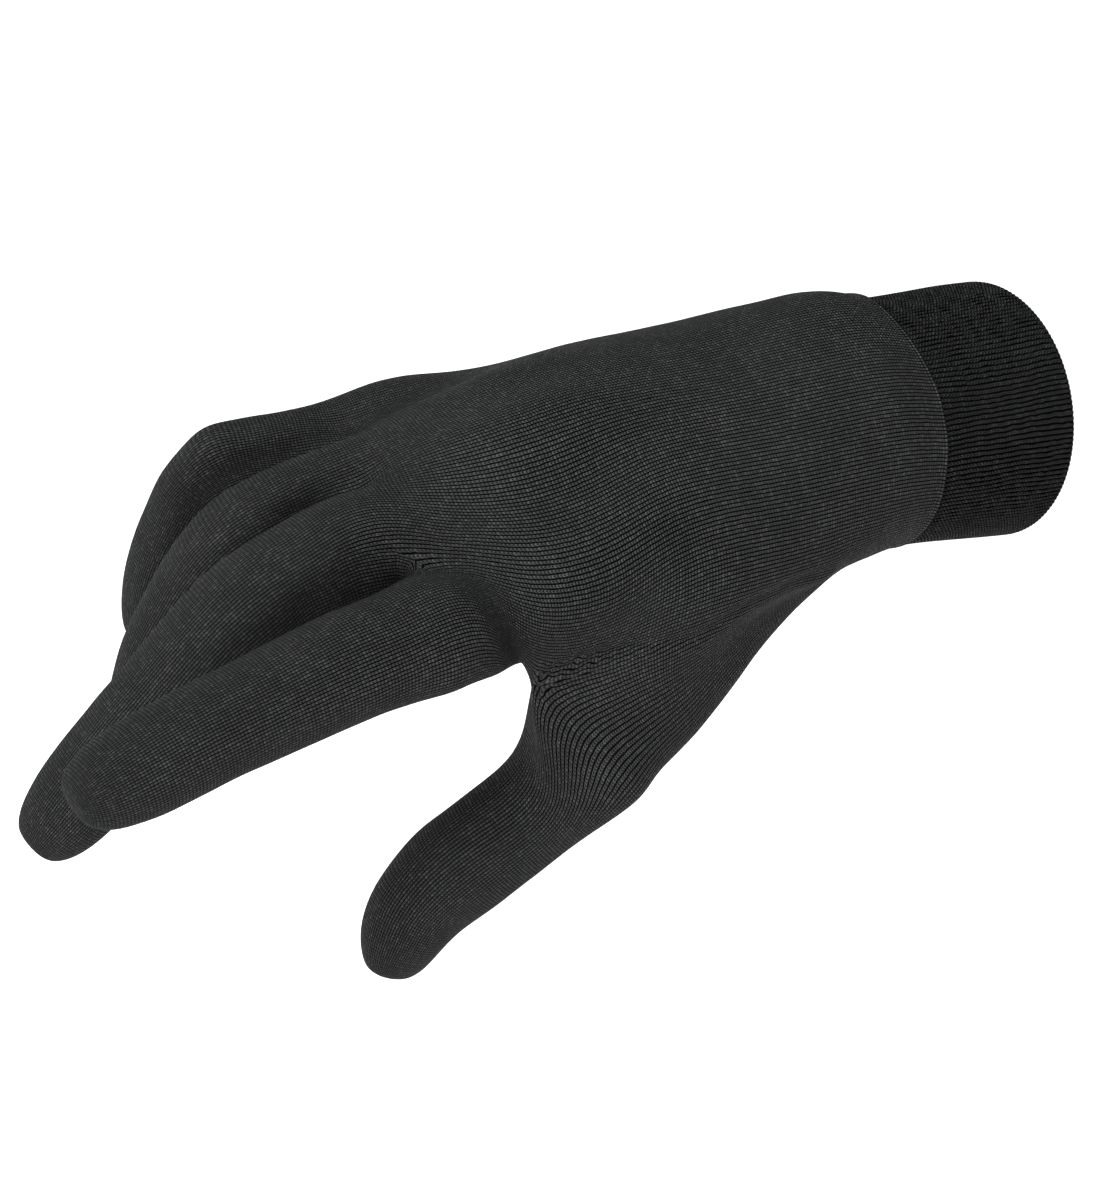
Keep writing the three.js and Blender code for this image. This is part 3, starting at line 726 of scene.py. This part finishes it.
def grow_strip(bm, knit, tube, courses, start, end, first, last):
    """A strip of skin, grown row by row, with wales and courses as its knit coordinates."""
    count = {}

    def lay(verts, row):
        for place, vert in zip(range(start, end + 1), verts):
            vert.co = tube.at(place, row)
            count[vert] = (place * WALES_PER_COLUMN, courses[row])

    verts = [bm.verts.new() for _ in range(start, end + 1)]
    edges = [bm.edges.new(pair) for pair in zip(verts, verts[1:])]
    lay(verts, first)
    for row in range(first + 1, last + 1):
        edges, verts = grow_row(bm, edges, verts)
        lay(verts, row)
    map_knit(knit, count)
    return verts


def tip_cap(bm, knit, verts, course):
    """The closing of a tip: rows of points bridge the last ring over a small dome."""
    ring = [vert.co.copy() for vert in verts[:RING]]
    middle = sum(ring, Vector()) / RING
    backs = [edge.other_vert(vert) for vert in verts[:RING] for edge in vert.link_edges]
    inner = [vert.co for vert in backs if vert not in verts]
    outward = (middle - sum(inner, Vector()) / len(inner)).normalized()
    lines = []
    for j in range(SIDE_COLUMNS + 1):
        line = []
        for i in range(BACK_COLUMNS + 1):
            u, v = i / BACK_COLUMNS, j / SIDE_COLUMNS
            along = ring[i].lerp(ring[ULNAR_PALM - i], v)
            across = ring[(RING - j) % RING].lerp(ring[RADIAL_BACK + j], u)
            low = ring[ULNAR_BACK].lerp(ring[RADIAL_BACK], u)
            high = ring[ULNAR_PALM].lerp(ring[RADIAL_PALM], u)
            dome = TIP_DOME * 4 * u * (1 - u) * 4 * v * (1 - v)
            line.append(along + across - low.lerp(high, v) + outward * dome)
        lines.append(line)
    row = [bm.verts.new(point) for point in lines[0]]
    edges = [bm.edges.new(pair) for pair in zip(row, row[1:])]
    count = {}
    for j, line in enumerate(lines):
        if j:
            edges, row = grow_row(bm, edges, row)
        for i, (vert, point) in enumerate(zip(row, line)):
            vert.co = point
            count[vert] = (i * WALES_PER_COLUMN, course + j * TIP_COURSES)
    map_knit(knit, count)


def glove_skin():
    """The hand part of the glove as one open sheet, seamless from the seam to the tips."""
    tubes = glove_tubes()
    counts = course_counts(tubes)
    bm = bmesh.new()
    knit = bm.loops.layers.uv.new("knit")
    for name, start, end, first, last in strips():
        grow_strip(bm, knit, tubes[name], counts[name], start, end, first, last)
    for name, tube in tubes.items():
        first = crotch_row(name) + 1
        verts = grow_strip(bm, knit, tube, counts[name], 0, RING, first, tube.last)
        tip_cap(bm, knit, verts, counts[name][-1])
    bmesh.ops.remove_doubles(bm, verts=bm.verts, dist=WELD)
    for vert in bm.verts:
        if vert.is_boundary:
            vert.co.x += SEAM_LAP
    bmesh.ops.recalc_face_normals(bm, faces=bm.faces)
    bmesh.ops.scale(bm, verts=bm.verts, vec=(MM, MM, MM))
    return bm


def add_piece(name, bm, material):
    """A finished piece: an object at the origin with its place in its mesh."""
    mesh = bpy.data.meshes.new(name)
    bm.to_mesh(mesh)
    bm.free()
    mesh.materials.append(material)
    for polygon in mesh.polygons:
        polygon.use_smooth = True
    piece = bpy.data.objects.new(name, mesh)
    bpy.context.scene.collection.objects.link(piece)
    return piece


def smooth_mesh(piece, levels):
    """Subdivides a piece's skin and keeps the result as its mesh."""
    modifier = piece.modifiers.new("Skin", "SUBSURF")
    modifier.levels = levels
    modifier.render_levels = levels
    modifier.uv_smooth = "PRESERVE_BOUNDARIES"
    evaluated = piece.evaluated_get(bpy.context.evaluated_depsgraph_get())
    mesh = bpy.data.meshes.new_from_object(evaluated)
    piece.modifiers.clear()
    old = piece.data
    piece.data = mesh
    bpy.data.meshes.remove(old)


def from_line(point, line):
    """How far a point is from a line of points."""
    nearest = []
    for start, end in zip(line, line[1:]):
        reach = end - start
        t = min(max((point - start).dot(reach) / reach.length_squared, 0.0), 1.0)
        nearest.append((point - start - reach * t).length)
    return min(nearest)


def bell(distance, reach):
    """1 at no distance, falling to nothing past the reach."""
    return math.exp(-(distance / reach) ** 2)


def unsettle(piece):
    """Gives the knit the crease, puffs and soft unevenness of a glove in long use, and marks its
    hem for a painted highlight.
    """
    mesh = piece.data
    gather = mesh.attributes.new("gather", "FLOAT", "POINT")
    hem = mesh.attributes.new("hem", "FLOAT", "POINT")
    uses = Counter(key for face in mesh.polygons for key in face.edge_keys)
    rim = {end for key, faces in uses.items() if faces == 1 for end in key}
    crease = [Vector(end) for end in JOIN_CREASE]
    puffs = [(Vector(centre), reach, height) for centre, reach, height in PUFFS]
    span_centre, span_move = Vector(SPAN_CENTRE), Vector(SPAN_MOVE)
    moves = []
    for vert in mesh.vertices:
        point = vert.co / MM
        rise = sum(noise.noise(point / size) * height for size, height in UNEVEN)
        rise += sum(
            height * bell((point - centre).length, reach) for centre, reach, height in puffs
        )
        off = from_line(point, crease)
        rise -= CREASE_DEPTH * bell(off, CREASE_WIDTH)
        near_crotch = bell((point - crease[0]).length, GATHER_LENGTH)
        gather.data[vert.index].value = bell(off, GATHER_WIDTH) * near_crotch
        # The rim of the skin is raised and marked for a painted highlight along the hem
        if vert.index in rim:
            hem.data[vert.index].value = 1.0
            rise += HEM_RISE
        span = bell((point - span_centre).length, SPAN_REACH)
        moves.append((vert.normal * rise + span_move * span) * MM)
    for vert, move in zip(mesh.vertices, moves):
        vert.co += move


def cuff_station(x):
    """The cuff's section at x, smooth between its stations."""
    keys = [(-station[0], Vector(station[1:])) for station in CUFF_STATIONS]
    for k in range(len(keys) - 1):
        if -x <= keys[k + 1][0]:
            break
    t = (-x - keys[k][0]) / (keys[k + 1][0] - keys[k][0])
    return between(keys, k, t)


def cuff_ring(x, section, inset, ribbed):
    """A ring of the cuff at x, inset into its wall, its ribs standing out by ribbed."""
    y, z, half, height = section
    points = []
    for n in range(RIBS * RIB_STEPS):
        angle = 2 * math.pi * n / (RIBS * RIB_STEPS)
        turn = (RIB_SWAY_TURN * math.cos(angle), RIB_SWAY_TURN * math.sin(angle))
        angle += ribbed * RIB_SWAY * noise.noise((x / RIB_SWAY_REACH, *turn))
        rib = abs(math.sin(math.pi * n / RIB_STEPS)) ** RIB_FULLNESS - RIB_LEVEL
        out = ribbed * RIB_DEPTH * rib - inset
        reach = max(0.0, 1 + x / CUFF_SLANT_REACH)
        slant = CUFF_SLANT * reach * math.cos(angle - math.radians(CUFF_SLANT_ANGLE))
        points.append(Vector((
            x + slant - seam_shift(x, angle),
            y + (half + out) * math.cos(angle),
            z + (height + out) * math.sin(angle),
        )))
    return points


def cuff_mesh():
    """The doubled rib band, folded over at its open end."""
    end = CUFF_STATIONS[-1][0]
    rings = []
    for n in range(CUFF_ROWS + 1):
        x = end * (1 - n / CUFF_ROWS) - (FOLD_START if n == CUFF_ROWS else 0)
        rings.append(cuff_ring(x, cuff_station(x), 0, 1))
    for angle in FOLD_ANGLES:
        x = FOLD_BULGE * math.sin(math.radians(angle)) - FOLD_START
        inset = CUFF_WALL * (1 - math.cos(math.radians(angle))) / 2
        rings.append(cuff_ring(x, cuff_station(0), inset, RIB_INSIDE))
    for n in range(CUFF_ROWS // 2 + 1):
        x = end * n / (CUFF_ROWS // 2) - (FOLD_START if n == 0 else 0)
        rings.append(cuff_ring(x, cuff_station(x), CUFF_WALL, -RIB_INSIDE))
    bm = bmesh.new()
    knit = bm.loops.layers.uv.new("knit")
    verts = bmesh.ops.create_circle(bm, segments=RIBS * RIB_STEPS, radius=1)["verts"]
    edges = list(bm.edges)
    courses = 0.0
    count = {}
    for n, ring in enumerate(rings):
        if n:
            edges, verts = grow_row(bm, edges, verts)
            courses += (ring[0] - rings[n - 1][0]).length / RIB_COURSE
        for k, (vert, point) in enumerate(zip(verts, ring)):
            vert.co = point
            count[vert] = (k / RIB_STEPS, courses)
    for face in bm.faces:
        wales = [count[vert][0] for vert in face.verts]
        closes = max(wales) - min(wales) > 1
        for loop in face.loops:
            wale, course = count[loop.vert]
            loop[knit].uv = (wale + RIBS if closes and wale < 1 else wale, course)
    bmesh.ops.bridge_loops(bm, edges=[edge for edge in bm.edges if edge.is_boundary])
    bmesh.ops.recalc_face_normals(bm, faces=bm.faces)
    bmesh.ops.scale(bm, verts=bm.verts, vec=(MM, MM, MM))
    return bm


class Nodes:
    """Short ways to place and link shader nodes."""

    def __init__(self, tree):
        self.tree = tree

    def add(self, kind, **values):
        node = self.tree.nodes.new(kind)
        for name, value in values.items():
            setattr(node, name, value)
        return node

    def put(self, socket, value):
        if isinstance(value, bpy.types.NodeSocket):
            self.tree.links.new(value, socket)
        elif value is not None:
            socket.default_value = value

    def math(self, operation, a, b=None):
        node = self.add("ShaderNodeMath", operation=operation)
        self.put(node.inputs[0], a)
        self.put(node.inputs[1], b)
        return node.outputs[0]

    def ramp(self, value, low, high, start=0.0, end=1.0):
        node = self.add("ShaderNodeMapRange", interpolation_type="SMOOTHSTEP")
        for socket, given in zip(node.inputs, (value, low, high, start, end)):
            self.put(socket, given)
        return node.outputs[0]

    def mix(self, factor, a, b, blend="MIX"):
        node = self.add("ShaderNodeMix", data_type="RGBA", blend_type=blend)
        for label, value in (("Factor", factor), ("A", a), ("B", b)):
            self.put(node.inputs[label], value)
        return node.outputs["Result"]

    def noise(self, place, scale, detail=2.0):
        node = self.add("ShaderNodeTexNoise")
        for label, value in (("Vector", place), ("Scale", scale), ("Detail", detail)):
            self.put(node.inputs[label], value)
        return node.outputs[0]

    def group(self, tree, **values):
        node = self.add("ShaderNodeGroup", node_tree=tree)
        for label, value in values.items():
            self.put(node.inputs[label], value)
        return node.outputs


def new_group(name, inputs, outputs):
    """An empty shader group with named inputs, and with named outputs that are numbers."""
    tree = bpy.data.node_groups.new(name, "ShaderNodeTree")
    for label, kind, value in inputs:
        socket = tree.interface.new_socket(label, in_out="INPUT", socket_type=kind)
        if value is not None:
            socket.default_value = value
    for label in outputs:
        tree.interface.new_socket(label, in_out="OUTPUT", socket_type="NodeSocketFloat")
    nodes = Nodes(tree)
    return nodes, nodes.add("NodeGroupInput").outputs, nodes.add("NodeGroupOutput").inputs


def knit_group():
    """Wales of V stitches: how high the yarn stands, and how deep the gap beside it is."""
    nodes, given, out = new_group(
        "Knit stitches",
        (
            ("Knit", "NodeSocketVector", None),
            ("Lean", "NodeSocketFloat", 0.8),
            ("Wander", "NodeSocketFloat", 0.12),
        ),
        ("Height", "Gap", "Stitch", "Chance"),
    )
    wander = nodes.noise(given["Knit"], WANDER_SCALE, WANDER_DETAIL)
    shift = nodes.math("MULTIPLY", nodes.math("SUBTRACT", wander, 0.5), given["Wander"])
    parts = nodes.add("ShaderNodeSeparateXYZ")
    nodes.put(parts.inputs[0], given["Knit"])

    # Place in the wale, from its middle, and in the course, which leans away from the middle
    wale = nodes.math("ADD", parts.outputs[0], nodes.math("MULTIPLY", shift, WANDER_ACROSS))
    off = nodes.math("ABSOLUTE", nodes.math("SUBTRACT", nodes.math("FRACT", wale), 0.5))
    lean = nodes.math("MULTIPLY", off, given["Lean"])
    turned = nodes.math("ADD", nodes.math("ADD", parts.outputs[1], lean), shift)
    course = nodes.math("FRACT", turned)

    # The wale is round, each leg of the V is round on it, and each stitch swells in its middle
    squared = nodes.math("POWER", nodes.math("MULTIPLY", off, 2.0), 2.0)
    round_wale = nodes.math("SUBTRACT", 1.0, squared)
    from_leg = nodes.math("MULTIPLY", nodes.math("SUBTRACT", off, LEG_PLACE), 1 / LEG_PLACE)
    leg_squared = nodes.math("POWER", nodes.math("ABSOLUTE", from_leg), 2.0)
    leg = nodes.math("SUBTRACT", 1.0, leg_squared)
    swell = nodes.math("MULTIPLY", course, nodes.math("SUBTRACT", 1.0, course))
    swell = nodes.math("MULTIPLY", swell, 4.0)
    leg_part = nodes.math("MULTIPLY", leg, 1 - WALE_SHARE)
    body = nodes.math("ADD", nodes.math("MULTIPLY", round_wale, WALE_SHARE), leg_part)
    swollen = nodes.math("ADD", nodes.math("MULTIPLY", swell, SWELL_SHARE), 1 - SWELL_SHARE)
    nodes.put(out["Height"], nodes.math("MULTIPLY", body, swollen))
    nodes.put(out["Stitch"], swell)

    # Dark between the wales, and in the crook of each V
    crook = nodes.ramp(off, *CROOK_ACROSS)
    crook = nodes.math("MULTIPLY", crook, nodes.ramp(course, *CROOK_ALONG))
    crook = nodes.math("MULTIPLY", crook, CROOK_DARK)
    nodes.put(out["Gap"], nodes.math("MAXIMUM", nodes.ramp(off, *GAP_RANGE), crook))

    # A number of its own for each stitch
    cell = nodes.add("ShaderNodeCombineXYZ")
    nodes.put(cell.inputs[0], nodes.math("FLOOR", wale))
    nodes.put(cell.inputs[1], nodes.math("FLOOR", turned))
    chance = nodes.add("ShaderNodeTexWhiteNoise", noise_dimensions="2D")
    nodes.put(chance.inputs["Vector"], cell.outputs[0])
    nodes.put(out["Chance"], chance.outputs["Value"])
    return nodes.tree


def worn_and_painted_light_group():
    """Uneven dye, fibres, painted glints, painted valley shade, a painted hem highlight and lint.
    """
    nodes, given, out = new_group(
        "Worn yarn and painted light",
        (
            ("Place", "NodeSocketVector", None),
            ("Chance", "NodeSocketFloat", 0.5),
            ("Hem", "NodeSocketFloat", 0.0),
        ),
        ("Shade", "Fibre", "Lint"),
    )
    place = given["Place"]
    fibre = nodes.noise(place, FIBRE_SCALE, FIBRE_DETAIL)
    dye = nodes.math("MULTIPLY", nodes.noise(place, DYE_SCALE), DYE_SHARE)
    shade = nodes.math("ADD", dye, 1 - DYE_SHARE)
    shade = nodes.math("ADD", shade, nodes.math("MULTIPLY", fibre, FIBRE_SHARE))
    # Painted glints: a few stitches, chosen at random, are made brighter
    lit = nodes.math("MULTIPLY", nodes.math("POWER", given["Chance"], LIT_POWER), LIT_SHARE)
    shade = nodes.math("MULTIPLY", shade, nodes.math("ADD", lit, UNLIT))
    # Painted shade: the cloth is darkened where other cloth is near, as in the valleys between
    # fingers
    near = nodes.add("ShaderNodeAmbientOcclusion", samples=NARROW_SAMPLES)
    nodes.put(near.inputs["Distance"], NARROW_REACH * MM)
    narrow = nodes.ramp(near.outputs["AO"], *NARROW_RANGE, NARROW_SHADE, 1.0)
    shade = nodes.math("MULTIPLY", shade, narrow)
    # Painted highlight: the colour is doubled along the hem
    shade = nodes.math("MULTIPLY", shade, nodes.math("ADD", given["Hem"], 1.0))
    specks = nodes.add("ShaderNodeTexVoronoi", feature="F1")
    nodes.put(specks.inputs["Vector"], place)
    nodes.put(specks.inputs["Scale"], LINT_SCALE)
    speck = nodes.math("LESS_THAN", specks.outputs["Distance"], LINT_SIZE)
    patches = nodes.ramp(nodes.noise(place, LINT_PATCHES), *LINT_RANGE)
    nodes.put(out["Shade"], shade)
    nodes.put(out["Fibre"], fibre)
    nodes.put(out["Lint"], nodes.math("MULTIPLY", speck, patches))
    return nodes.tree


def yarn_material(name, stitches, wear_and_painted_light, colour, lean, wander, depth, holes):
    """A knitted yarn: stitches on the piece's knit map, with dye, fibres, lint and painted light.
    """
    material = bpy.data.materials.new(name)
    material.use_nodes = True
    nodes = Nodes(material.node_tree)
    finish = material.node_tree.nodes["Principled BSDF"].inputs
    knit_map = nodes.add("ShaderNodeUVMap", uv_map="knit").outputs[0]
    gather = nodes.add("ShaderNodeAttribute", attribute_name="gather").outputs["Fac"]
    hem = nodes.add("ShaderNodeAttribute", attribute_name="hem").outputs["Fac"]
    place = nodes.add("ShaderNodeTexCoord").outputs["Object"]
    loose = nodes.math("ADD", nodes.math("MULTIPLY", gather, GATHER_WANDER), wander)
    knit = nodes.group(stitches, Knit=knit_map, Lean=lean, Wander=loose)
    worn_and_painted_light = nodes.group(wear_and_painted_light, Place=place, Chance=knit["Chance"], Hem=hem)

    open_knit = nodes.math("MULTIPLY", nodes.ramp(knit["Stitch"], *HOLE_RANGE), holes)
    dark = nodes.math("MAXIMUM", knit["Gap"], open_knit)
    # The yarn's colour takes its dye and fibres, and its painted shade, glints and hem highlight
    tinted_and_shaded = nodes.mix(1.0, nodes.mix(dark, colour, BLACK), worn_and_painted_light["Shade"], "MULTIPLY")
    flecks = nodes.math("MULTIPLY", worn_and_painted_light["Lint"], LINT_COVER)
    nodes.put(finish["Base Color"], nodes.mix(flecks, tinted_and_shaded, LINT_COLOUR))
    rough = nodes.math("ADD", nodes.math("MULTIPLY", dark, GAP_ROUGHNESS), YARN_ROUGHNESS)
    nodes.put(finish["Roughness"], rough)
    nodes.put(finish["Specular IOR Level"], YARN_GLOSS)

    bump = nodes.add("ShaderNodeBump")
    fuzz = nodes.math("MULTIPLY", worn_and_painted_light["Fibre"], FIBRE_BUMP)
    nodes.put(bump.inputs["Strength"], 1.0)
    nodes.put(bump.inputs["Distance"], depth * MM)
    nodes.put(bump.inputs["Height"], nodes.math("ADD", knit["Height"], fuzz))
    nodes.put(finish["Normal"], bump.outputs[0])
    return material


def plain_material(name, colour, roughness):
    material = bpy.data.materials.new(name)
    material.use_nodes = True
    shader = material.node_tree.nodes["Principled BSDF"]
    shader.inputs["Base Color"].default_value = colour
    shader.inputs["Roughness"].default_value = roughness
    return material


def add_camera():
    data = bpy.data.cameras.new("Camera")
    data.lens = CAMERA_LENS
    data.sensor_width = CAMERA_SENSOR
    data.clip_start, data.clip_end = CAMERA_CLIP
    camera = bpy.data.objects.new("Camera", data)
    right, up = Vector(CAMERA_RIGHT), Vector(CAMERA_UP)
    turn = Matrix((right, up, right.cross(up))).transposed().to_4x4()
    camera.matrix_world = Matrix.Translation(Vector(CAMERA_PLACE) * MM) @ turn
    bpy.context.scene.collection.objects.link(camera)
    bpy.context.scene.camera = camera


def add_light(name, place, size, power, colour):
    data = bpy.data.lights.new(name, "AREA")
    data.shape = "DISK"
    data.size = size
    data.energy = power
    data.color = colour
    light = bpy.data.objects.new(name, data)
    light.location = place
    aim = Vector(LIGHT_AIM) - Vector(place)
    light.rotation_mode = "QUATERNION"
    light.rotation_quaternion = aim.to_track_quat("-Z", "Y")
    bpy.context.scene.collection.objects.link(light)


def add_studio():
    bm = bmesh.new()
    bmesh.ops.create_grid(bm, x_segments=1, y_segments=1, size=FLOOR_HALF)
    bmesh.ops.translate(bm, verts=bm.verts, vec=(0, 0, FLOOR_HEIGHT))
    paper = plain_material("Pale floor", FLOOR_COLOUR, FLOOR_ROUGHNESS)
    shader = paper.node_tree.nodes["Principled BSDF"]
    shader.inputs["Emission Color"].default_value = WHITE
    shader.inputs["Emission Strength"].default_value = FLOOR_GLOW
    floor = add_piece("floor", bm, paper)
    world = bpy.data.worlds.new("Studio")
    world.use_nodes = True
    sky = world.node_tree.nodes["Background"]
    sky.inputs["Color"].default_value = WHITE
    sky.inputs["Strength"].default_value = SKY
    bpy.context.scene.world = world
    bpy.context.scene.view_settings.view_transform = "Standard"
    for name, values in LIGHTS.items():
        add_light(name, *values)


add_camera()
add_studio()
stitches, wear_and_painted_light = knit_group(), worn_and_painted_light_group()
yarns = {name: yarn_material(name, stitches, wear_and_painted_light, *values) for name, values in YARNS.items()}

skin = add_piece("glove_skin", glove_skin(), yarns["Plain black knit"])
smooth_mesh(skin, SKIN_LEVELS)
unsettle(skin)
wall = skin.modifiers.new("Wall", "SOLIDIFY")
wall.thickness = WALL * MM
wall.offset = -1
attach(skin, "root")
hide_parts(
    "palm_tube", "index_stall", "middle_stall", "ring_stall", "little_stall", "thumb_stall"
)

cuff = add_piece("ribbed_cuff", cuff_mesh(), yarns["Ribbed black knit"])
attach(cuff, "root")
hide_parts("cuff")
